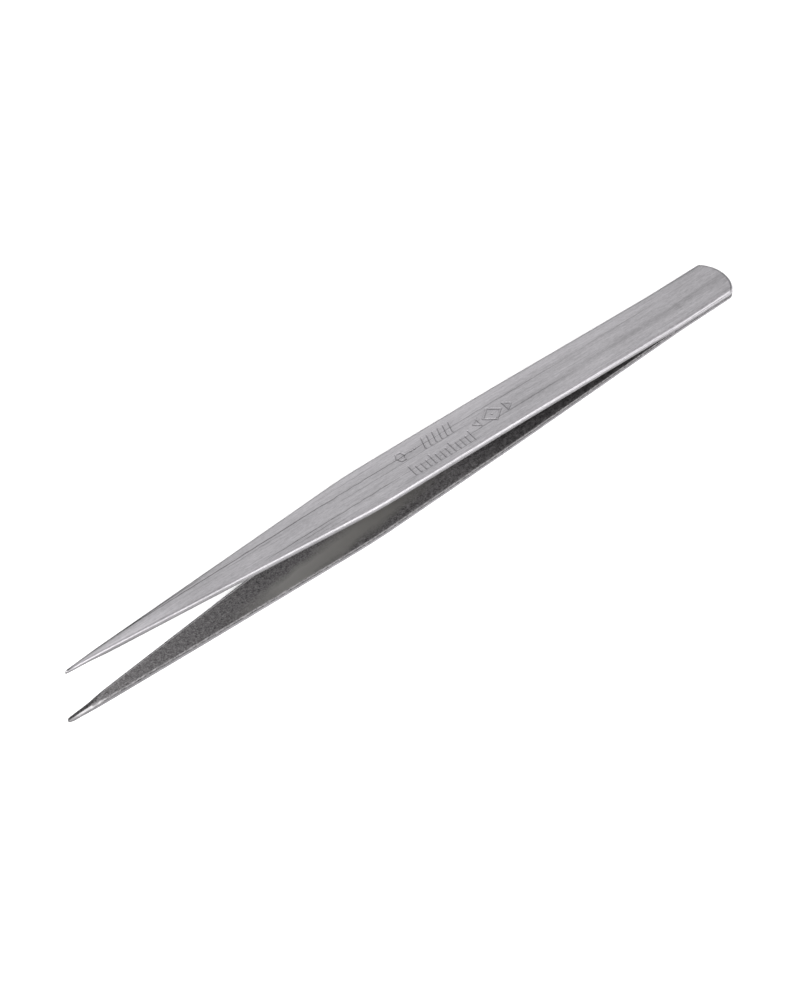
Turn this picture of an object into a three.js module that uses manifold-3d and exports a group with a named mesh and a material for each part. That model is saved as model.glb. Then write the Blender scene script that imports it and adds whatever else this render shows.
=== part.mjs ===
// Precision tweezers: two spring-steel arms of the same stamping, spot welded face to face at the
// heel and lying on the outer face of the lower arm. Millimetres, +X towards the tips, +Z up.
import * as THREE from 'three';
import { mergeVertices } from 'three/addons/utils/BufferGeometryUtils.js';
import Module from 'manifold-3d';

// Plan outline of one arm, measured from the tail along the seam plane.
const LENGTH = 140;
const TAIL_RADIUS = 6.0;
const TAIL_WIDTH = 8.3;
const TAIL_CORNER = 0.28;
const SHOULDER_X = 79;
const SHOULDER_WIDTH = 8.72;
const SHOULDER_BLEND = 4;
const TAPER_BULGE = 0.02;
const TIP_WIDTH = 0.64;

// Side profile of one arm: it leaves the seam plane at the end of the heel and diverges.
const HEEL_LENGTH = 13;
const SEAM_GAP = 0.05;
const THICKNESS = 1.08;
const FRONT_BEND_X = 50;
const FRONT_SLOPE = 0.0425;
// Steep enough that the flat of the arm, run back, meets the end of the heel: the pair rests on both.
const REAR_SLOPE = (FRONT_SLOPE * FRONT_BEND_X) / (FRONT_BEND_X - HEEL_LENGTH);

// The jaw's inner face is ground steeper, so that the tips close parallel; its back is rounded off.
const JAW_LENGTH = 10;
const JAW_SLOPE = 0.057;
const NOSE_LENGTH = 8;
const TIP_THICKNESS = 0.6;

// Where the spring of an arm is gathered into one hinge, with a slit between the two nodes there.
const FLEX_X = 33;
const FLEX_SLIT = 0.3;

// Weld nuggets: flattened lenses across the seam, on the centre line of the heel.
const WELD_RADIUS = 1.8;
const WELD_HALF_HEIGHT = 0.7;
const WELD_CLEARANCE = 0.05;
const WELDS = { rear_spot_weld: 4.6, front_spot_weld: 9.6 };

const BENDS = [
  { at: HEEL_LENGTH, reach: 1.7, turn: REAR_SLOPE },
  { at: FRONT_BEND_X, reach: 4, turn: FRONT_SLOPE - REAR_SLOPE },
];
const JAW_BEND = { at: LENGTH - JAW_LENGTH, reach: 2, turn: JAW_SLOPE - FRONT_SLOPE };
const BEND_STEPS = 6;
const CURVE_STEPS = 12;
const MARGIN = 1;

const steel = new THREE.MeshStandardMaterial({ color: 0xa4a3a6, metalness: 1, roughness: 0.42 });
const weldMetal = new THREE.MeshStandardMaterial({ color: 0x6d6a68, metalness: 1, roughness: 0.6 });

const wasm = await Module();
wasm.setup();

function toSolid(geometry) {
  const bare = geometry.clone();
  bare.deleteAttribute('normal');
  bare.deleteAttribute('uv');
  const merged = mergeVertices(bare, 1e-5);
  const mesh = new wasm.Mesh({
    numProp: 3,
    vertProperties: new Float32Array(merged.attributes.position.array),
    triVerts: new Uint32Array(merged.index.array),
  });
  return new wasm.Manifold(mesh);
}

function toGeometry(solid) {
  const mesh = solid.getMesh();
  const geometry = new THREE.BufferGeometry();
  geometry.setAttribute('position', new THREE.BufferAttribute(mesh.vertProperties, mesh.numProp));
  geometry.setIndex(new THREE.BufferAttribute(mesh.triVerts, 1));
  geometry.computeVertexNormals();
  return geometry;
}

// Height gained at x by a bend: nothing before it, a parabola through it, a straight slope after it.
function bendRise(x, { at, reach, turn }) {
  if (x <= at - reach) return 0;
  if (x >= at + reach) return turn * (x - at);
  return turn * (x - at + reach) ** 2 / (4 * reach);
}

// Height of the bent strip's underside above the seam plane, before the jaw is ground.
function stripHeight(x) {
  return BENDS.reduce((height, bend) => height + bendRise(x, bend), SEAM_GAP / 2);
}

function innerHeight(x) {
  return stripHeight(x) + bendRise(x, JAW_BEND);
}

function outerHeight(x) {
  const drop = THICKNESS - bendRise(LENGTH, JAW_BEND) - TIP_THICKNESS;
  const alongNose = Math.max(0, 1 - (LENGTH - x) / NOSE_LENGTH);
  return stripHeight(x) + THICKNESS - drop * alongNose ** 2;
}

function profileStations() {
  const stations = [-MARGIN, LENGTH + MARGIN];
  for (const { at, reach } of [...BENDS, JAW_BEND]) {
    for (let step = 0; step <= BEND_STEPS; step += 1) {
      stations.push(at - reach + (2 * reach * step) / BEND_STEPS);
    }
  }
  for (let step = 1; step <= BEND_STEPS; step += 1) {
    stations.push(LENGTH - NOSE_LENGTH * (1 - step / BEND_STEPS));
  }
  return stations.sort((a, b) => a - b);
}

// The strip as it looks from the side, wider than any arm.
function sideSolid() {
  const stations = profileStations();
  const inner = stations.map((x) => new THREE.Vector2(x, innerHeight(x)));
  const outer = stations.map((x) => new THREE.Vector2(x, outerHeight(x))).reverse();
  const depth = SHOULDER_WIDTH + 2 * MARGIN;
  const geometry = new THREE.ExtrudeGeometry(new THREE.Shape([...inner, ...outer]), {
    depth,
    bevelEnabled: false,
  });
  geometry.rotateX(Math.PI / 2);
  geometry.translate(0, depth / 2, 0);
  return toSolid(geometry);
}

// One edge of the plan outline from the tail corner to the tip; side is -1 or +1 across the width.
function edgePath(side) {
  const tailHalf = (side * TAIL_WIDTH) / 2;
  const shoulderHalf = (side * SHOULDER_WIDTH) / 2;
  const tipHalf = (side * TIP_WIDTH) / 2;
  const cornerX = TAIL_RADIUS - Math.sqrt(TAIL_RADIUS ** 2 - (Math.abs(tailHalf) - TAIL_CORNER) ** 2);
  const along = (y0, y1, t) => y0 + (y1 - y0) * t;
  const rise = SHOULDER_BLEND / SHOULDER_X;
  const fall = SHOULDER_BLEND / (LENGTH - SHOULDER_X);
  const path = new THREE.Path();
  path.moveTo(cornerX, tailHalf - side * TAIL_CORNER);
  path.quadraticCurveTo(cornerX + TAIL_CORNER / 2, tailHalf, cornerX + 3 * TAIL_CORNER, tailHalf);
  path.lineTo(SHOULDER_X - SHOULDER_BLEND, along(shoulderHalf, tailHalf, rise));
  path.quadraticCurveTo(
    SHOULDER_X,
    shoulderHalf,
    SHOULDER_X + SHOULDER_BLEND,
    along(shoulderHalf, tipHalf, fall) + (side * TAPER_BULGE) / 4,
  );
  path.quadraticCurveTo(
    (SHOULDER_X + LENGTH) / 2,
    (shoulderHalf + tipHalf) / 2 + side * 2 * TAPER_BULGE,
    LENGTH - TIP_WIDTH / 2,
    tipHalf,
  );
  return path.getPoints(CURVE_STEPS);
}

// The arm as it looks from above: a round tail, a long grip that widens a little to the shoulder,
// and a nearly straight taper to a fine round tip.
function planSolid() {
  const halfArc = TAIL_WIDTH / 2 - TAIL_CORNER;
  const turn = Math.asin(halfArc / TAIL_RADIUS);
  const tail = new THREE.Path();
  tail.absarc(TAIL_RADIUS, 0, TAIL_RADIUS, Math.PI - turn, Math.PI + turn, false);
  const tip = new THREE.Path();
  const tipCentre = LENGTH - TIP_WIDTH / 2;
  tip.absarc(tipCentre, 0, TIP_WIDTH / 2, -Math.PI / 2, Math.PI / 2, false);
  const outline = [
    ...tail.getPoints(CURVE_STEPS),
    ...edgePath(-1).slice(1),
    ...tip.getPoints(CURVE_STEPS / 2).slice(1),
    ...edgePath(1).reverse().slice(1, -1),
  ];
  const depth = outerHeight(LENGTH) + 2 * MARGIN;
  const geometry = new THREE.ExtrudeGeometry(new THREE.Shape(outline), {
    depth,
    bevelEnabled: false,
  });
  geometry.translate(0, 0, -MARGIN);
  return toSolid(geometry);
}

// A block that covers everything from one station to another.
function slab(from, to) {
  const size = 4 * SHOULDER_WIDTH;
  const geometry = new THREE.BoxGeometry(to - from, size, size);
  geometry.translate((from + to) / 2, 0, 0);
  return toSolid(geometry);
}

function nuggetGeometry(radius, halfHeight) {
  const profile = [];
  for (let step = 0; step <= CURVE_STEPS; step += 1) {
    const angle = -Math.PI / 2 + (Math.PI * step) / CURVE_STEPS;
    const onAxis = step === 0 || step === CURVE_STEPS;
    profile.push(new THREE.Vector2(onAxis ? 0 : radius * Math.cos(angle), halfHeight * Math.sin(angle)));
  }
  const geometry = new THREE.LatheGeometry(profile, 2 * CURVE_STEPS);
  geometry.rotateX(Math.PI / 2);
  return geometry;
}

function weldPockets() {
  const pockets = Object.values(WELDS).map((x) => {
    const pocket = nuggetGeometry(WELD_RADIUS + WELD_CLEARANCE, WELD_HALF_HEIGHT + WELD_CLEARANCE);
    pocket.translate(x, 0, 0);
    return toSolid(pocket);
  });
  return pockets.reduce((all, pocket) => all.add(pocket));
}

function namedMesh(name, geometry, material) {
  const mesh = new THREE.Mesh(geometry, material);
  mesh.name = name;
  return mesh;
}

const arm = sideSolid().intersect(planSolid());
const heel = toGeometry(arm.intersect(slab(-MARGIN, FLEX_X - FLEX_SLIT / 2)).subtract(weldPockets()));
const blade = toGeometry(arm.intersect(slab(FLEX_X + FLEX_SLIT / 2, LENGTH + MARGIN)));

// Both arms are the same piece: the lower one is the upper one turned over about the seam.
const upperArm = new THREE.Group();
upperArm.add(namedMesh('upper_heel', heel, steel), namedMesh('upper_blade', blade, steel));
const lowerArm = new THREE.Group();
lowerArm.add(namedMesh('lower_heel', heel, steel), namedMesh('lower_blade', blade, steel));
lowerArm.rotation.x = Math.PI;

const tweezers = new THREE.Group();
tweezers.add(upperArm, lowerArm);
for (const [name, x] of Object.entries(WELDS)) {
  const weld = namedMesh(name, nuggetGeometry(WELD_RADIUS, WELD_HALF_HEIGHT), weldMetal);
  weld.position.x = x;
  tweezers.add(weld);
}

// Lay the pair on the flat of the lower arm, then put the origin under the middle of its box.
tweezers.rotation.y = -Math.atan(FRONT_SLOPE);
tweezers.updateMatrixWorld(true);
const extent = new THREE.Box3().setFromObject(tweezers, true);
tweezers.position.set(-(extent.min.x + extent.max.x) / 2, 0, -extent.min.z);

export default tweezers;
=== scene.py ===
"""Precision tweezers: two brushed steel arms, each one continuous bent strip (the real strip flexes between
the heel and its blade), on a pale floor under soft light. Lengths are millimetres until they reach a mesh."""

import math

import bmesh
import bpy
import numpy as np
from mathutils import Matrix, Vector


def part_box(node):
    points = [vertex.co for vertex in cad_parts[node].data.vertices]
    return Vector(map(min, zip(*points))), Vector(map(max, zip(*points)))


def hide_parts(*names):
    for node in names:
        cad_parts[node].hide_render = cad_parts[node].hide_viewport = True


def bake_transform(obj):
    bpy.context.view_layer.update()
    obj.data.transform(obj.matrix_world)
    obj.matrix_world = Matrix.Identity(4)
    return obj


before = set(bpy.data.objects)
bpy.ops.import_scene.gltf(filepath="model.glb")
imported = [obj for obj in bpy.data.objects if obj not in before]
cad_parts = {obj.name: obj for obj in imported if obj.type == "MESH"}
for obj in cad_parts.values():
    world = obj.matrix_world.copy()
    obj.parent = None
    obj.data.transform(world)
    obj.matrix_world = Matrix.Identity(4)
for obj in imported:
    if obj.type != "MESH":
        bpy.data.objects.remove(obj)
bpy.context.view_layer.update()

MM = 0.001

# The strip that both arms are pressed from, as the CAD model has it.
LENGTH = 140.0
TAIL_RADIUS = 6.0
TAIL_WIDTH = 8.3
TAIL_CORNER = 0.28
SHOULDER_X = 79.0
SHOULDER_WIDTH = 8.72
SHOULDER_BLEND = 4.0
HEEL_LENGTH = 13.0
SEAM_GAP = 0.05
THICKNESS = 1.08
FRONT_BEND_X = 50.0
FRONT_SLOPE = 0.0425
REAR_SLOPE = FRONT_SLOPE * FRONT_BEND_X / (FRONT_BEND_X - HEEL_LENGTH)
JAW_LENGTH = 10.0
JAW_SLOPE = 0.057
NOSE_LENGTH = 8.0
TIP_THICKNESS = 0.6
REAR_WELD_X = 4.6
FRONT_WELD_X = 9.6
BENDS = ((HEEL_LENGTH, 1.7, REAR_SLOPE), (FRONT_BEND_X, 4.0, FRONT_SLOPE - REAR_SLOPE))
JAW_BEND = (LENGTH - JAW_LENGTH, 2.0, JAW_SLOPE - FRONT_SLOPE)

# Finish of the strip, which the CAD model leaves out. Each arm's taper is ground by hand, so that the
# two differ in the width of the tip, the length of its round nose and how far the taper's sides bulge.
UPPER_TAPER = {"tip_width": 0.52, "nose": 0.8, "bulge": -0.05}
LOWER_TAPER = {"tip_width": 0.96, "nose": 1.3, "bulge": 0.06}
TAIL_SKEW = 0.09
TAIL_INSET = 0.15
TAIL_CORNER_PULL = 0.5
TAIL_TRIM_FADE = (1.5, 7.0)

# Radii of the outer face's edges along the arm, and widths of the bevels round the inner face.
TAIL_ROUND = 0.50
HEEL_ROUND = 0.38
BLADE_ROUND = 0.30
TIP_ROUND = 0.20
HEEL_BEVEL = 0.28
BLADE_BEVEL = 0.35
BEVEL_FLATS = 3

# Slopes of the bevels and of the facets that they grow into at the point, at -Y and then at +Y of the
# blank. The crease where the two facets meet lies off the middle, by this share of the half width.
BEVEL_SLOPE = (0.45, 0.22)
FACET_SLOPE = (0.70, 0.40)
FACET_START = LENGTH - 8
FACET_FULL = LENGTH - 4
CREASE_OFFSET = 1 / 3

# Sides with a shear groove, whose rows and level are shares of the way down from the outer face, then
# the rolled and crowned outer face, and the hollows that the welds leave in it.
SIDE_GROOVE = 0.03
GROOVE_LEVEL = 0.8
GROOVE_SPREAD = 0.13
SIDE_ROWS = np.array([0.16, 0.34, 0.48, 0.6, 0.72, 0.86])
ROUND_REACH = 1.4
CROWN = 0.02
ROLL_WIDTH = 1.8
ROLL_DROP = 0.07
WELD_DIMPLES = ((REAR_WELD_X, 0.010), (FRONT_WELD_X, 0.016))
DIMPLE_RADIUS = 1.7
SHARP_ANGLE = math.radians(38)


# ---------------------------------------------------------------- shape of the strip

def bezier(p0, p1, p2, steps=12):
    """Points of a quadratic curve."""
    t = np.linspace(0, 1, steps + 1)[:, None]
    p0, p1, p2 = (np.array(p, float) for p in (p0, p1, p2))
    return (1 - t) ** 2 * p0 + 2 * t * (1 - t) * p1 + t**2 * p2


def smooth(value, low, high):
    """0 below low, 1 above high, with a soft step between them."""
    t = np.clip((value - low) / (high - low), 0, 1)
    return t * t * (3 - 2 * t)


def half_outline(tip_width, nose, bulge):
    """Plan outline of one half, from the tail's end to the tip's."""
    tail, shoulder, tip = TAIL_WIDTH / 2, SHOULDER_WIDTH / 2, tip_width / 2
    turn = math.asin((tail - TAIL_CORNER) / TAIL_RADIUS)
    a = np.linspace(0, turn, 30)
    arc = np.stack([TAIL_RADIUS * (1 - np.cos(a)), TAIL_RADIUS * np.sin(a)], 1)
    corner = arc[-1, 0]
    rise = SHOULDER_BLEND / SHOULDER_X
    fall = SHOULDER_BLEND / (LENGTH - SHOULDER_X)
    before = (SHOULDER_X - SHOULDER_BLEND, shoulder + (tail - shoulder) * rise)
    after = (SHOULDER_X + SHOULDER_BLEND, shoulder + (tip - shoulder) * fall + bulge / 4)
    middle = ((SHOULDER_X + LENGTH) / 2, (shoulder + tip) / 2 + 2 * bulge)
    a = np.linspace(math.pi / 2, 0, 10)
    point = np.stack([LENGTH - nose + nose * np.cos(a), tip * np.sin(a)], 1)
    return np.vstack([
        arc,
        bezier(arc[-1], (corner + TAIL_CORNER / 2, tail), (corner + 3 * TAIL_CORNER, tail))[1:],
        bezier(before, (SHOULDER_X, shoulder), after),
        bezier(after, middle, (LENGTH - nose, tip), 24)[1:],
        point[1:],
    ])


def edge_distance(outline, x, y):
    """How far a point of the plan lies inside the outline."""
    p = np.stack([x.ravel(), np.abs(y).ravel()], 1)
    best = np.full(len(p), np.inf)
    for a, b in zip(outline[:-1], outline[1:]):
        along = b - a
        t = np.clip(((p - a) @ along) / max(along @ along, 1e-12), 0, 1)
        best = np.minimum(best, np.hypot(*(p - a - t[:, None] * along).T))
    return best.reshape(x.shape)


def bend_rise(x, bend):
    """Height gained by a bend: nothing before it, a parabola through it, a straight slope after it."""
    at, reach, turn = bend
    inside = turn * (x - at + reach) ** 2 / (4 * reach)
    return np.where(x <= at - reach, 0, np.where(x >= at + reach, turn * (x - at), inside))


def strip_height(x):
    """Height of the bent strip's inner face over the seam plane, before the jaw is ground."""
    return SEAM_GAP / 2 + sum(bend_rise(x, bend) for bend in BENDS)


def inner_height(x):
    """Height of the inner face, with the steeper jaw."""
    return strip_height(x) + bend_rise(x, JAW_BEND)


def outer_height(x):
    """Height of the outer face, with the nose rounded off towards the tip."""
    drop = THICKNESS - bend_rise(np.array(LENGTH), JAW_BEND) - TIP_THICKNESS
    nose = np.maximum(0, 1 - (LENGTH - x) / NOSE_LENGTH)
    return strip_height(x) + THICKNESS - drop * nose**2


# ---------------------------------------------------------------- stamped marks and drawn lines

# A stroke's half width, its sloping walls, and the low rim of metal that it pushes up on both sides.
MARK_DEPTH = 0.08
MARK_STROKE = 0.15
MARK_WALL = 0.10
# How much the colour darkens inside a stroke: some dirt, and painted shade in the recess.
MARK_PAINTED_SHADE = 0.04
MARK_ZONE = (44.0, 73.0)
RIM_HEIGHT = 0.16
RIM_OFFSET = 0.17
RIM_WIDTH = 0.08
LINE_WIDTH = 0.22
LINE_FADE = 5.0
DRAWN_LINES = (
    # start x, end x, y at the start, y at the end, strength
    (12, 40, -2.12, -1.60, 0.35),
    (32, 66, -1.64, -1.60, 0.6),
    (60, 95, -1.62, -1.45, 1.0),
    (86, 130, -1.50, -0.78, 1.0),
    (108, 135, -1.78, -0.50, 0.6),
    (93, 110, -0.88, -0.66, 0.4),
    (53, 86, -0.42, -0.30, 0.45),
    (34, 60, 1.28, 1.60, 0.6),
    (53, 76, 1.55, 1.60, 0.4),
    (70, 101, 1.59, 1.88, 0.9),
    (84, 96, 2.27, 2.43, 0.5),
    (52, 72, 3.00, 3.02, 0.35),
    (72, 88, -2.93, -2.83, 0.5),
)


def stroke_distance(x, y, p, q):
    """Distance to the straight stroke from p to q."""
    p, q = np.array(p, float), np.array(q, float)
    along = q - p
    t = np.clip(((x - p[0]) * along[0] + (y - p[1]) * along[1]) / max(along @ along, 1e-9), 0, 1)
    return np.hypot(x - p[0] - t * along[0], y - p[1] - t * along[1])


def polygon(centre, size, sides, turn=0.0):
    """Strokes of a regular polygon, size being its reach along the strip and across it."""
    a = [math.radians(turn) + 2 * math.pi * i / sides for i in range(sides + 1)]
    points = [(centre[0] + size[0] * math.cos(b), centre[1] + size[1] * math.sin(b)) for b in a]
    return list(zip(points[:-1], points[1:]))


def mark_strokes():
    """Plain stamped signs: slanted ticks, dots and a hexagon, a graduated row, and a diamond between
    two triangles."""
    slanted = [((58.0 + 1.15 * i, -2.7), (58.7 + 1.15 * i, -0.7)) for i in range(6)]
    dots = [((66.1 + 0.85 * i, -1.7), (66.1 + 0.85 * i, -1.7)) for i in range(2)]
    graduated = [((56.7 + 1.05 * i, 0.8 if i % 4 == 0 else 1.4), (56.7 + 1.05 * i, 2.8)) for i in range(13)]
    diamond = polygon((51.2, 0.3), (1.9, 1.4), 4) + [((51.2, 0.3), (51.2, 0.3))]
    triangles = polygon((47.9, 0.3), (0.75, 0.95), 3, 180) + polygon((54.4, 0.3), (0.75, 0.95), 3)
    return slanted + dots + polygon((69.0, -1.7), (0.85, 0.95), 6) + graduated + diamond + triangles


def recess(x, y):
    """Depth of the stamped marks below the outer face, and how far each point is inside a stroke."""
    zone = (x > MARK_ZONE[0]) & (x < MARK_ZONE[1])
    near = np.full_like(x, SHOULDER_WIDTH)
    for p, q in mark_strokes():
        near[zone] = np.minimum(near[zone], stroke_distance(x[zone], y[zone], p, q))
    walls = 1 - smooth(near, MARK_STROKE - MARK_WALL, MARK_STROKE + MARK_WALL)
    rim = RIM_HEIGHT * np.exp(-(((near - MARK_STROKE - RIM_OFFSET) / RIM_WIDTH) ** 2))
    return MARK_DEPTH * (walls - rim), walls


def weld_dimple(x, y):
    """Depth of the faint round hollows that the welding leaves in the outer face."""
    depth = np.zeros_like(x)
    for weld, amount in WELD_DIMPLES:
        depth += amount * np.exp(-(((x - weld) ** 2 + y**2) / DIMPLE_RADIUS**2) ** 2)
    return depth


# ---------------------------------------------------------------- mesh of one arm

# Steps between rings of points along the strip, and points across each face.
RING_STEP = 0.6
TIP_RING_STEP = 0.2
MARK_RING_STEP = 0.085
PLAIN_COLUMNS = 46
STAMPED_COLUMNS = 96
INNER_COLUMNS = 18
OUTER, SIDE, INNER, BEVEL = range(4)


def stations(outline, stamped):
    """Places along the strip where it gets a ring of points, closest where the shape changes most."""
    parts = [
        outline[outline[:, 0] < 4, 0],
        np.arange(3.2, LENGTH - 12, RING_STEP),
        np.arange(LENGTH - 12, LENGTH - 0.5, TIP_RING_STEP),
        outline[outline[:, 0] > LENGTH - 1.5, 0],
        np.linspace(0.05, 1.5, 16),
    ]
    if stamped:
        parts.append(np.arange(45.5, 71.5, MARK_RING_STEP))
    x = np.unique(np.round(np.concatenate(parts), 4))
    keep = np.r_[True, np.diff(x) > 0.004]
    x = x[keep]
    x[-1] = LENGTH
    return x


def columns(w, border, shape, count):
    """Places across a face of half width w, from -Y to +Y: closely set in its borders, even between."""
    border = np.minimum(border, w)
    edge = w[:, None] - border[:, None] * shape[None]
    flat = np.linspace(-1, 1, count)[None, 1:-1] * (w - border)[:, None]
    return np.concatenate([-edge, flat, edge[:, ::-1]], 1)


def arm_rings(outline, stamped):
    """Points of every ring as (x, y, height over the inner face), what the faces between them are, how
    far each point lies inside a mark, and how far it is from the edge of its face. On the sides that
    last one is the share of the way down, made negative."""
    x = stations(outline, stamped)
    w = np.interp(x, outline[:, 0], outline[:, 1])
    thick = outer_height(x) - inner_height(x)
    edge_round = np.interp(x, (3, HEEL_LENGTH, 45, LENGTH), (TAIL_ROUND, HEEL_ROUND, BLADE_ROUND, TIP_ROUND))
    bevel = HEEL_BEVEL + (BLADE_BEVEL - HEEL_BEVEL) * smooth(x, HEEL_LENGTH, FRONT_BEND_X)
    facet = smooth(x, FACET_START, FACET_FULL)
    bevel = np.minimum(bevel + np.maximum(w - bevel, 0) * facet, w)

    turn = np.linspace(0, math.pi / 2, 8)
    across = STAMPED_COLUMNS if stamped else PLAIN_COLUMNS
    gy = columns(w, ROUND_REACH * edge_round, 1 - np.cos(turn), across)[:, ::-1]
    gx = np.repeat(x[:, None], gy.shape[1], 1)
    d = edge_distance(outline, gx, gy)
    r = edge_round[:, None]
    drop = r - np.sqrt(np.maximum(r**2 - (r - np.minimum(d / ROUND_REACH, r)) ** 2, 0))
    share = np.clip(w[:, None] / 4, 0, 1)
    drop += CROWN * share * np.where(w[:, None] > 0, gy / np.maximum(w[:, None], 1e-6), 0) ** 2
    drop += ROLL_DROP * share**2 * np.clip(1 - d / (ROLL_WIDTH * np.maximum(share, 0.05)), 0, 1) ** 2
    depth, stroke = recess(gx, gy) if stamped else (np.zeros_like(gx), np.zeros_like(gx))
    outer = np.stack([gx, gy, thick[:, None] - drop - depth - weld_dimple(gx, gy)], 2)

    uy = columns(w, bevel, np.linspace(0, 1, BEVEL_FLATS + 1), INNER_COLUMNS)
    ux = np.repeat(x[:, None], uy.shape[1], 1)
    du = edge_distance(outline, ux, uy)
    rises = []
    for side, low, high, shift in zip((1, -1), BEVEL_SLOPE, FACET_SLOPE, (-1, 1)):
        slope = low + (high - low) * facet
        reach = bevel * (1 + shift * facet * CREASE_OFFSET)
        inside = np.where(side * uy < 0, du, 2 * w[:, None] - du)
        rises.append(slope[:, None] * np.clip(reach[:, None] - inside, 0, None))
    inner = np.stack([ux, uy, np.maximum(*rises)], 2)

    n_rows = len(SIDE_ROWS)

    def wall(side):
        upper, lower = (outer[:, -1, 2], inner[:, 0, 2]) if side < 0 else (outer[:, 0, 2], inner[:, -1, 2])
        steps = (SIDE_ROWS if side < 0 else SIDE_ROWS[::-1])[None]
        groove = np.exp(-(((steps - GROOVE_LEVEL) / GROOVE_SPREAD) ** 2))
        inset = SIDE_GROOVE * groove * np.clip(w[:, None], 0, 1)
        z = upper[:, None] + (lower - upper)[:, None] * steps
        return np.stack([np.repeat(x[:, None], n_rows, 1), side * (w[:, None] - inset), z], 2)

    rings = np.concatenate([outer, wall(-1), inner, wall(1)], 1)
    n_outer, n_inner = outer.shape[1], inner.shape[1]
    bevel_kinds, side_kinds = [BEVEL] * BEVEL_FLATS, [SIDE] * (n_rows + 1)
    inner_kinds = [INNER] * (n_inner - 1 - 2 * BEVEL_FLATS)
    kinds = [OUTER] * (n_outer - 1) + side_kinds + bevel_kinds + inner_kinds + bevel_kinds + side_kinds
    marks = np.zeros(rings.shape[:2])
    marks[:, :n_outer] = stroke
    edge = np.zeros(rings.shape[:2])
    edge[:, :n_outer] = d
    start = n_outer + n_rows
    edge[:, start:start + n_inner] = du
    for side, low in ((-1, n_outer), (1, start + n_inner)):
        share = SIDE_ROWS if side < 0 else SIDE_ROWS[::-1]
        edge[:, low:low + n_rows] = -share[None]
    return rings, kinds, marks, edge


def seam_frame():
    """Place of the seam plane in the part: its origin is the end of the tail, +X runs to the tips."""
    def middle(node):
        low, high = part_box(node)
        return (Vector(low) + Vector(high)) / 2
    rear, front = middle("rear_spot_weld"), middle("front_spot_weld")
    along = (front - rear).normalized()
    across = Vector((0, 1, 0))
    up = along.cross(across)
    origin = rear - along * REAR_WELD_X * MM
    return Matrix.Translation(origin) @ Matrix((along, across, up)).transposed().to_4x4()


SEAM = seam_frame()


def attribute(mesh, name, kind, values):
    """Store a value for every point of the mesh, for its materials to read."""
    layer = mesh.attributes.new(name, kind, "POINT")
    field = "vector" if kind == "FLOAT_VECTOR" else "value"
    layer.data.foreach_set(field, np.ravel(values).astype(np.float32))


def weld_mesh(mesh):
    """Join the points that meet at the two ends of the strip, and turn every face outwards."""
    bm = bmesh.new()
    bm.from_mesh(mesh)
    bmesh.ops.remove_doubles(bm, verts=bm.verts, dist=1e-7)
    bmesh.ops.dissolve_degenerate(bm, edges=bm.edges, dist=1e-8)
    bmesh.ops.recalc_face_normals(bm, faces=bm.faces)
    bm.to_mesh(mesh)
    bm.free()


def make_arm(name, taper, flip, stamped, materials):
    """One continuous arm, bent and laid in the seam's frame; the lower one is turned over."""
    rings, kinds, marks, edge = arm_rings(half_outline(**taper), stamped)
    count, around = rings.shape[:2]
    blank = rings.reshape(-1, 3)
    x, y, z = blank.T
    height = inner_height(x) + z
    if flip:
        y, height = -y, -height
    trim = TAIL_SKEW * y - TAIL_INSET - TAIL_CORNER_PULL * np.clip(2 * y / TAIL_WIDTH, 0, 1) ** 6
    local = np.stack([x - trim * (1 - smooth(x, *TAIL_TRIM_FADE)), y, height], 1) * MM
    place = np.array(SEAM)
    verts = local @ place[:3, :3].T + place[:3, 3]

    i, j = np.meshgrid(np.arange(count - 1), np.arange(around), indexing="ij")
    k = (j + 1) % around
    quads = np.stack([i * around + j, i * around + k, (i + 1) * around + k, (i + 1) * around + j], 2)
    mesh = bpy.data.meshes.new(name)
    mesh.from_pydata(verts.tolist(), [], quads.reshape(-1, 4).tolist())
    slots = np.tile(np.array(kinds), count - 1)
    mesh.polygons.foreach_set("material_index", slots.astype(np.int32))
    attribute(mesh, "strip", "FLOAT_VECTOR", blank)
    attribute(mesh, "recess", "FLOAT", marks)
    attribute(mesh, "edge", "FLOAT", edge)
    for material in materials:
        mesh.materials.append(material)

    arm = bpy.data.objects.new(name, mesh)
    bpy.context.collection.objects.link(arm)
    weld_mesh(mesh)
    mesh.shade_smooth()
    mesh.set_sharp_from_angle(angle=SHARP_ANGLE)
    return arm


# ---------------------------------------------------------------- materials

def set_stops(color_ramp, stops):
    """Give a colour ramp its stops, each one a position and a grey."""
    while len(color_ramp.elements) < len(stops):
        color_ramp.elements.new(0.5)
    for element, (position, value) in zip(color_ramp.elements, stops):
        element.position = position
        element.color = (value, value, value, 1)


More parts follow.
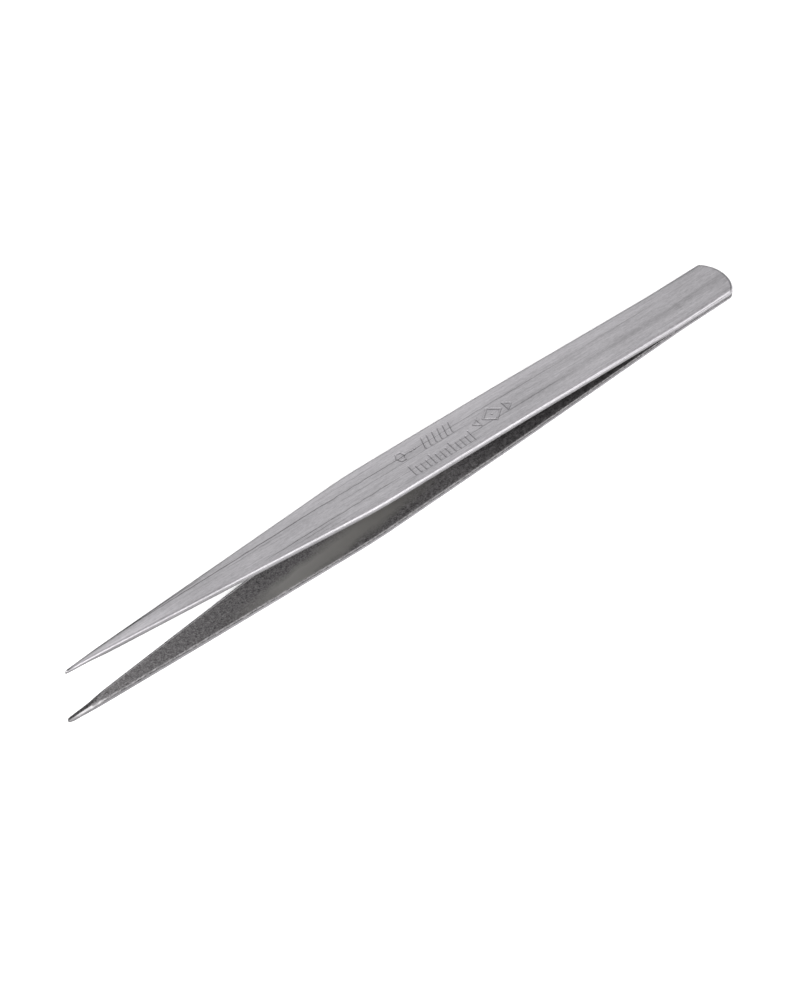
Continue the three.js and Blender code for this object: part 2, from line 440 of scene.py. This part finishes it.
class Tree:
    """A material's node tree with short ways to add and join nodes."""

    def __init__(self, name):
        self.material = bpy.data.materials.new(name)
        self.material.use_nodes = True
        self.nodes = self.material.node_tree.nodes
        self.links = self.material.node_tree.links
        self.shader = self.nodes["Principled BSDF"]

    def add(self, kind, inputs=None, **settings):
        node = self.nodes.new(kind)
        for key, value in settings.items():
            setattr(node, key, value)
        for key, value in (inputs or {}).items():
            self.put(node.inputs[key], value)
        return node

    def put(self, socket, value):
        if isinstance(value, bpy.types.NodeSocket):
            self.links.new(value, socket)
        else:
            socket.default_value = value

    def attribute(self, name):
        return self.add("ShaderNodeAttribute", attribute_name=name)

    def maths(self, operation, a, b=0.0, clamp=False):
        node = self.add("ShaderNodeMath", {0: a, 1: b}, operation=operation, use_clamp=clamp)
        return node.outputs[0]

    def scaled(self, vector, scale, offset=(0, 0, 0)):
        node = self.add("ShaderNodeMapping", {"Vector": vector, "Scale": scale, "Location": offset})
        return node.outputs[0]

    def noise(self, vector, scale=1.0, detail=2.0, roughness=0.5):
        node = self.add("ShaderNodeTexNoise", {"Vector": vector, "Scale": scale, "Detail": detail,
                                               "Roughness": roughness})
        return node.outputs["Fac"]

    def ramp(self, value, low, high, to_low=0.0, to_high=1.0):
        node = self.add("ShaderNodeMapRange", {"Value": value, "From Min": low, "From Max": high,
                                               "To Min": to_low, "To Max": to_high})
        return node.outputs[0]

    def mix(self, share, a, b):
        node = self.add("ShaderNodeMix", data_type="RGBA")
        self.put(node.inputs["Factor"], share)
        self.put(node.inputs[6], a)
        self.put(node.inputs[7], b)
        return node.outputs[2]

    def shade(self, share, a, b):
        node = self.add("ShaderNodeMix", data_type="FLOAT")
        self.put(node.inputs["Factor"], share)
        self.put(node.inputs[2], a)
        self.put(node.inputs[3], b)
        return node.outputs[0]

    def bump(self, height, distance, strength=1.0):
        node = self.add("ShaderNodeBump", {"Height": height, "Distance": distance, "Strength": strength})
        return node.outputs[0]


def drawn_lines(t, x, y):
    """Long scratches that the grinder leaves along the outer face, each fading out at its ends."""
    along = t.add("ShaderNodeCombineXYZ", {0: x}).outputs[0]
    wander = t.ramp(t.noise(along, 0.35, 2.0), 0.3, 0.7, -0.07, 0.07)
    level = t.maths("ADD", y, wander)
    lines = 0.0
    for start, end, y0, y1, strength in DRAWN_LINES:
        off = t.maths("ABSOLUTE", t.maths("SUBTRACT", level, t.ramp(x, start, end, y0, y1)))
        ends = t.maths("MULTIPLY", t.ramp(x, start, start + LINE_FADE), t.ramp(x, end, end - LINE_FADE))
        line = t.maths("MULTIPLY", t.ramp(off, LINE_WIDTH / 2, 0.0, 0.0, strength), ends)
        lines = t.maths("MAXIMUM", line, lines)
    return lines


def outer_tone_bands(t, x, y):
    """Broad lighter and darker bands of the outer face: a darker one from the tail past the welds, a light
    one along the far side, a darker tail end, a lighter near half towards the tip, and a darker spot by the
    front weld."""
    off = t.maths("ABSOLUTE", t.maths("SUBTRACT", y, t.ramp(x, 3, 48, 0.45, 1.5)))
    darkened = t.maths("MULTIPLY", t.ramp(off, 0.85, 0.2, 0.0, -0.07), t.ramp(x, 62, 44))
    far_reach = t.maths("MULTIPLY", t.ramp(x, 9, 24), t.ramp(x, 110, 88))
    far = t.maths("MULTIPLY", t.ramp(y, -2.0, -3.1, 0.0, 0.09), far_reach)
    near = t.maths("MULTIPLY", t.ramp(y, -0.45, 0.3), t.ramp(x, 114, 131, 0.0, 0.26))
    along = t.maths("SUBTRACT", x, FRONT_WELD_X + 1.6)
    across = t.maths("SUBTRACT", y, 0.9)
    reach = t.maths("ADD", t.maths("MULTIPLY", along, along), t.maths("MULTIPLY", across, across))
    total = t.maths("ADD", t.maths("ADD", darkened, far), t.maths("ADD", near, t.ramp(x, 11, 4, 0.0, -0.04)))
    return t.maths("ADD", total, t.ramp(reach, 1.0, 0.0, 0.0, -0.05))


def brushed_outer():
    """Satin steel brushed along its length, smoother over the worn edges, dark in the lines. Painted shade
    (with some dirt) darkens the marks, and painted shade also darkens the rolled edges and the very tip.
    """
    t = Tree("brushed_outer_steel")
    strip = t.attribute("strip").outputs["Vector"]
    parts = t.add("ShaderNodeSeparateXYZ", {0: strip})
    x, y = parts.outputs[0], parts.outputs[1]
    wide = t.noise(t.scaled(strip, (0.06, 2.0, 2.0)), 1.0, 2.0)
    fine = t.noise(t.scaled(strip, (0.16, 5.0, 5.0)), 1.0, 3.0, 0.6)
    hair = t.noise(t.scaled(strip, (1.3, 7.0, 7.0)), 1.0, 3.0, 0.7)
    cloud = t.noise(t.scaled(strip, (0.10, 0.5, 0.5), (3, 1, 0)), 1.0, 2.0)
    scratch = t.noise(t.scaled(strip, (0.02, 5.5, 5.5), (0, 9, 2)), 1.0, 2.0, 0.6)
    lines = drawn_lines(t, x, y)
    edge = t.attribute("edge").outputs["Fac"]
    # Reach of the painted shade along the far rolled edge, stronger towards the tip.
    far_edge = t.maths("MULTIPLY", t.ramp(y, 0.1, -0.1), t.ramp(x, 90, 118, 0.4, 1.0))
    rolled = t.ramp(edge, 0.55, 0.25)
    value = outer_tone_bands(t, x, y)
    for amount in (
        t.ramp(wide, 0.3, 0.7, 0.56, 0.64),
        t.ramp(fine, 0.25, 0.75, -0.06, 0.06),
        t.ramp(hair, 0.2, 0.8, -0.15, 0.15),
        t.ramp(cloud, 0.3, 0.7, -0.03, 0.03),
        t.ramp(scratch, 0.60, 0.70, 0.0, -0.06),
        t.maths("MULTIPLY", lines, -0.42),
        # Painted shade, with some dirt, inside the stamped strokes.
        t.maths("MULTIPLY", t.attribute("recess").outputs["Fac"], -MARK_PAINTED_SHADE),
        # Painted shade on the far rolled edge.
        t.maths("MULTIPLY", t.ramp(edge, 0.35, 0.08, 0.0, -0.22), far_edge),
        # Painted shade over both rolled edges, strong towards the tip and faint towards the tail, dimming
        # their highlight.
        t.maths("MULTIPLY", rolled, t.ramp(x, 100, 128, 0.0, -0.24)),
        t.maths("MULTIPLY", rolled, t.ramp(x, 50, 20, 0.0, -0.07)),
        # Painted shade at the very end of the tip.
        t.ramp(x, LENGTH - 1.9, LENGTH - 0.6, 0.0, -0.32),
    ):
        value = t.maths("ADD", value, amount)
    colour = t.mix(t.maths("MAXIMUM", value, 0.06), (0, 0, 0, 1), (0.985, 0.96, 1.0, 1))
    roughness = t.shade(t.ramp(edge, 0.45, 0.1), t.ramp(hair, 0.3, 0.7, 0.28, 0.40), 0.34)
    t.put(t.shader.inputs["Base Color"], colour)
    t.shader.inputs["Metallic"].default_value = 1.0
    t.put(t.shader.inputs["Roughness"], roughness)
    height = t.maths("ADD", t.maths("MULTIPLY", fine, 0.6), t.maths("MULTIPLY", hair, 0.4))
    height = t.maths("SUBTRACT", height, t.maths("MULTIPLY", lines, 0.8))
    t.put(t.shader.inputs["Normal"], t.bump(height, 0.014 * MM, 0.9))
    return t.material


def ground_side():
    """Side walls: ground cross-ways and dull, darker towards the tip, with a dark line along the shear
    groove near the inner face."""
    t = Tree("ground_side_steel")
    strip = t.attribute("strip").outputs["Vector"]
    grind = t.noise(t.scaled(strip, (4.0, 0.3, 1.4)), 1.0, 3.0, 0.6)
    drift = t.noise(t.scaled(strip, (0.4, 0.3, 0.8)), 1.0, 2.0)
    tone = t.maths("ADD", t.maths("MULTIPLY", grind, 0.5), t.maths("MULTIPLY", drift, 0.5))
    colour = t.mix(t.ramp(tone, 0.35, 0.65), (0.23, 0.224, 0.232, 1), (0.33, 0.322, 0.332, 1))
    level = t.attribute("edge").outputs["Fac"]
    shear = t.maths("MULTIPLY", t.ramp(level, -1.0, -0.92), t.ramp(level, -0.66, -0.78))
    x = t.add("ShaderNodeSeparateXYZ", {0: strip}).outputs[0]
    shade = t.maths("ADD", t.maths("MULTIPLY", shear, 0.75), t.ramp(x, 100, LENGTH - 1, 0.0, 0.45), True)
    colour = t.mix(shade, colour, (0.10, 0.097, 0.1, 1))
    t.put(t.shader.inputs["Base Color"], colour)
    t.shader.inputs["Metallic"].default_value = 1.0
    t.put(t.shader.inputs["Roughness"], t.ramp(grind, 0.3, 0.7, 0.42, 0.56))
    t.put(t.shader.inputs["Normal"], t.bump(grind, 0.01 * MM, 0.8))
    return t.material


def blasted_inner():
    """Inner faces: dark, bead blasted and grainy, with painted shade towards the tail where the other arm
    closes over them, a smoother patch along the middle whose olive colour is a painted reflection, and
    painted reflection making them lighter towards the tip."""
    t = Tree("blasted_inner_steel")
    strip = t.attribute("strip").outputs["Vector"]
    parts = t.add("ShaderNodeSeparateXYZ", {0: strip})
    x, y = parts.outputs[0], parts.outputs[1]
    grain = t.noise(t.scaled(strip, (3.6, 3.6, 3.6)), 1.0, 3.0, 0.7)
    speck = t.noise(t.scaled(strip, (1.3, 1.8, 1.8), (7, 3, 0)), 1.0, 2.0, 0.6)
    blend = t.maths("ADD", t.maths("MULTIPLY", grain, 0.65), t.maths("MULTIPLY", speck, 0.35))
    tone = t.ramp(blend, 0.36, 0.64)
    colour = t.mix(tone, (0.10, 0.094, 0.099, 1), (0.50, 0.484, 0.490, 1))

    # Painted light along the arm: painted shade towards the tail, under the other arm, and painted
    # reflection lighter towards the tip.
    shade = t.add("ShaderNodeValToRGB", {"Fac": t.maths("DIVIDE", x, LENGTH)})
    stops = ((0.2, 0.25), (0.36, 0.40), (0.43, 0.58), (0.70, 0.42), (0.78, 0.49), (0.90, 0.63), (0.96, 0.82))
    set_stops(shade.color_ramp, stops)
    node = t.add("ShaderNodeMix", data_type="RGBA", blend_type="MULTIPLY")
    t.put(node.inputs["Factor"], 1.0)
    t.put(node.inputs[6], colour)
    t.put(node.inputs[7], shade.outputs["Color"])

    wobble = t.ramp(t.noise(t.scaled(strip, (0.25, 0.6, 0.6)), 1.0, 2.0), 0.3, 0.7, -0.35, 0.35)
    middle = t.ramp(x, 62.0, 100.0, 0.2, -2.6)
    off = t.maths("ABSOLUTE", t.maths("ADD", t.maths("SUBTRACT", y, middle), wobble))
    patch_reach = t.maths("MULTIPLY", t.ramp(x, 56, 74), t.ramp(x, 109, 97))
    patch = t.maths("MULTIPLY", t.ramp(off, 2.4, 0.9), patch_reach, True)
    # The patch is smoother steel; its lighter olive colour, rising towards the tip, is a painted reflection.
    patch_painted_reflection = t.mix(t.ramp(x, 64, 94), (0.225, 0.219, 0.208, 1), (0.262, 0.256, 0.248, 1))
    t.put(t.shader.inputs["Base Color"], t.mix(patch, node.outputs[2], patch_painted_reflection))
    t.shader.inputs["Metallic"].default_value = 0.9
    t.put(t.shader.inputs["Roughness"], t.shade(patch, t.ramp(speck, 0.3, 0.7, 0.42, 0.58), 0.5))
    height = t.maths("MULTIPLY", tone, t.maths("SUBTRACT", 1.0, patch))
    t.put(t.shader.inputs["Normal"], t.bump(height, 0.02 * MM, 0.8))
    return t.material


def polished_bevel():
    """Bevels round the inner faces, polished by the stone: dark where they meet the sides, and darkened with
    painted shade on the facet at +Y of the blank's point and at the very end."""
    t = Tree("polished_bevel_steel")
    strip = t.attribute("strip").outputs["Vector"]
    parts = t.add("ShaderNodeSeparateXYZ", {0: strip})
    x, y = parts.outputs[0], parts.outputs[1]
    edge = t.attribute("edge").outputs["Fac"]
    chatter = t.noise(t.scaled(strip, (1.4, 3.0, 3.0)), 1.0, 2.0, 0.6)
    dashes = t.noise(t.scaled(strip, (0.9, 0.2, 0.2), (4, 0, 0)), 1.0, 2.0, 0.6)
    colour = t.mix(t.ramp(chatter, 0.3, 0.7), (0.37, 0.361, 0.367, 1), (0.50, 0.489, 0.497, 1))
    burr = t.maths("MULTIPLY", t.ramp(edge, 0.17, 0.09), t.ramp(dashes, 0.38, 0.52, 0.3, 0.85))
    # Painted shade on the facet at +Y of the blank's point.
    darkened = t.maths("MULTIPLY", t.ramp(x, LENGTH - 9, LENGTH - 7), t.ramp(y, -0.3, 0.1))
    shade = t.maths("MAXIMUM", burr, t.maths("MULTIPLY", darkened, 0.55))
    # Painted shade at the very end of the tip.
    shade = t.maths("MAXIMUM", shade, t.ramp(x, LENGTH - 2.4, LENGTH - 0.9, 0.0, 0.7))
    t.put(t.shader.inputs["Base Color"], t.mix(shade, colour, (0.13, 0.126, 0.13, 1)))
    t.shader.inputs["Metallic"].default_value = 1.0
    t.put(t.shader.inputs["Roughness"], t.ramp(chatter, 0.3, 0.7, 0.22, 0.34))
    t.put(t.shader.inputs["Normal"], t.bump(chatter, 0.006 * MM, 0.5))
    return t.material


def weld_metal():
    """Spot weld nuggets: rippled grey metal with a straw and blue heat tint."""
    t = Tree("heat_tinted_weld")
    place = t.add("ShaderNodeTexCoord").outputs["Object"]
    ripple = t.noise(t.scaled(place, (900, 900, 900)), 1.0, 3.0)
    tint = t.mix(t.ramp(ripple, 0.35, 0.65), (0.20, 0.17, 0.15, 1), (0.30, 0.31, 0.35, 1))
    t.put(t.shader.inputs["Base Color"], tint)
    t.shader.inputs["Metallic"].default_value = 1.0
    t.put(t.shader.inputs["Roughness"], t.ramp(ripple, 0.3, 0.7, 0.45, 0.65))
    t.put(t.shader.inputs["Normal"], t.bump(ripple, 0.03 * MM, 0.8))
    return t.material


def paper_floor():
    """Matte white paper."""
    t = Tree("pale_floor")
    t.shader.inputs["Base Color"].default_value = (0.97, 0.97, 0.97, 1)
    t.shader.inputs["Roughness"].default_value = 0.85
    return t.material


# ---------------------------------------------------------------- pieces

STEEL = (brushed_outer(), ground_side(), blasted_inner(), polished_bevel())


def place_arm(name, taper, flip, stamped):
    """Make an arm in place of its two CAD nodes."""
    side_name = name.split("_")[0]
    arm = make_arm(name, taper, flip, stamped, STEEL)
    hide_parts(side_name + "_heel", side_name + "_blade")

    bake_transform(arm)


place_arm("upper_arm", UPPER_TAPER, flip=False, stamped=True)
place_arm("lower_arm", LOWER_TAPER, flip=True, stamped=False)

weld_material = weld_metal()
for weld_name in ("rear_spot_weld", "front_spot_weld"):
    weld = bpy.data.objects[weld_name]
    for slot in weld.material_slots:
        slot.material = weld_material


# ---------------------------------------------------------------- stage, light and camera

FLOOR_SIZE = 3000.0
FLOOR_DROP = 0.05
ROOM_BANDS = ((0.0, 0.10), (0.30, 0.14), (0.50, 0.30), (0.62, 1.0), (0.72, 0.84), (0.80, 0.54), (1.0, 0.50))
BACKDROP = (0.78, 0.78, 0.78, 1)

# Lights: direction from the tweezers, distance and side in metres, power in watts.
KEY_LIGHT = ((-0.38, 0.72, 0.56), 0.8, 0.70, 2.2)
FILL_LIGHT = ((0.365, 0.484, 0.795), 1.0, 0.30, 13.0)

# The camera turns about a point over the middle of the tweezers and then slides by so much to its own
# right and up. The lens is given as its focal length over the width of the sensor.
TARGET = Vector((0, 0, 4.0))
TURN = math.radians(143.03)
ELEVATION = math.radians(52.70)
ROLL = math.radians(-3.20)
DISTANCE = 1233.3
SLIDE = (-0.358, -2.941)
SENSOR_WIDTH = 36.0
FOCAL_PER_WIDTH = 9.375


def add_floor():
    """Plain pale floor, a hair under the tweezers."""
    bpy.ops.mesh.primitive_plane_add(size=FLOOR_SIZE * MM, location=(0, 0, -FLOOR_DROP * MM))
    floor = bpy.context.object
    floor.name = "floor"
    floor.data.materials.append(paper_floor())


def add_area(name, direction, distance, size, power):
    """Square soft light, facing the middle of the tweezers from a direction."""
    light = bpy.data.lights.new(name, "AREA")
    light.shape = "SQUARE"
    light.size = size
    light.energy = power
    lamp = bpy.data.objects.new(name, light)
    bpy.context.collection.objects.link(lamp)
    toward = Vector(direction).normalized()
    lamp.location = toward * distance
    lamp.rotation_euler = toward.to_track_quat("Z", "Y").to_euler()


def add_world():
    """Room light by height: dark at the horizon, brightest half way up, softer overhead. The backdrop
    seen past the floor is a plain pale wall."""
    world = bpy.data.worlds.new("studio")
    world.use_nodes = True
    nodes, links = world.node_tree.nodes, world.node_tree.links
    place = nodes.new("ShaderNodeTexCoord")
    split = nodes.new("ShaderNodeSeparateXYZ")
    ramp = nodes.new("ShaderNodeValToRGB")
    set_stops(ramp.color_ramp, ROOM_BANDS)
    links.new(place.outputs["Generated"], split.inputs[0])
    links.new(split.outputs["Z"], ramp.inputs["Fac"])
    seen = nodes.new("ShaderNodeLightPath")
    mix = nodes.new("ShaderNodeMix")
    mix.data_type = "RGBA"
    links.new(seen.outputs["Is Camera Ray"], mix.inputs["Factor"])
    links.new(ramp.outputs["Color"], mix.inputs[6])
    mix.inputs[7].default_value = BACKDROP
    links.new(mix.outputs[2], nodes["Background"].inputs["Color"])
    nodes["Background"].inputs["Strength"].default_value = 1.0
    bpy.context.scene.world = world


def add_camera():
    """The photograph's viewing angle: a long lens from above the near side, behind the tips."""
    aside = math.cos(ELEVATION)
    back = Vector((math.sin(TURN) * aside, -math.cos(TURN) * aside, math.sin(ELEVATION)))
    level = Vector((math.cos(TURN), math.sin(TURN), 0))
    rise = back.cross(level)
    right = level * math.cos(ROLL) + rise * math.sin(ROLL)
    up = rise * math.cos(ROLL) - level * math.sin(ROLL)
    place = (TARGET + back * DISTANCE + right * SLIDE[0] + up * SLIDE[1]) * MM
    data = bpy.data.cameras.new("camera")
    data.sensor_fit = "HORIZONTAL"
    data.sensor_width = SENSOR_WIDTH
    data.lens = FOCAL_PER_WIDTH * SENSOR_WIDTH
    data.clip_end = 10.0
    camera = bpy.data.objects.new("camera", data)
    bpy.context.collection.objects.link(camera)
    camera.matrix_world = Matrix.Translation(place) @ Matrix((right, up, back)).transposed().to_4x4()
    bpy.context.scene.camera = camera


add_floor()
add_world()
add_area("key", *KEY_LIGHT)
add_area("fill", *FILL_LIGHT)
add_camera()
bpy.context.scene.view_settings.view_transform = "Standard"
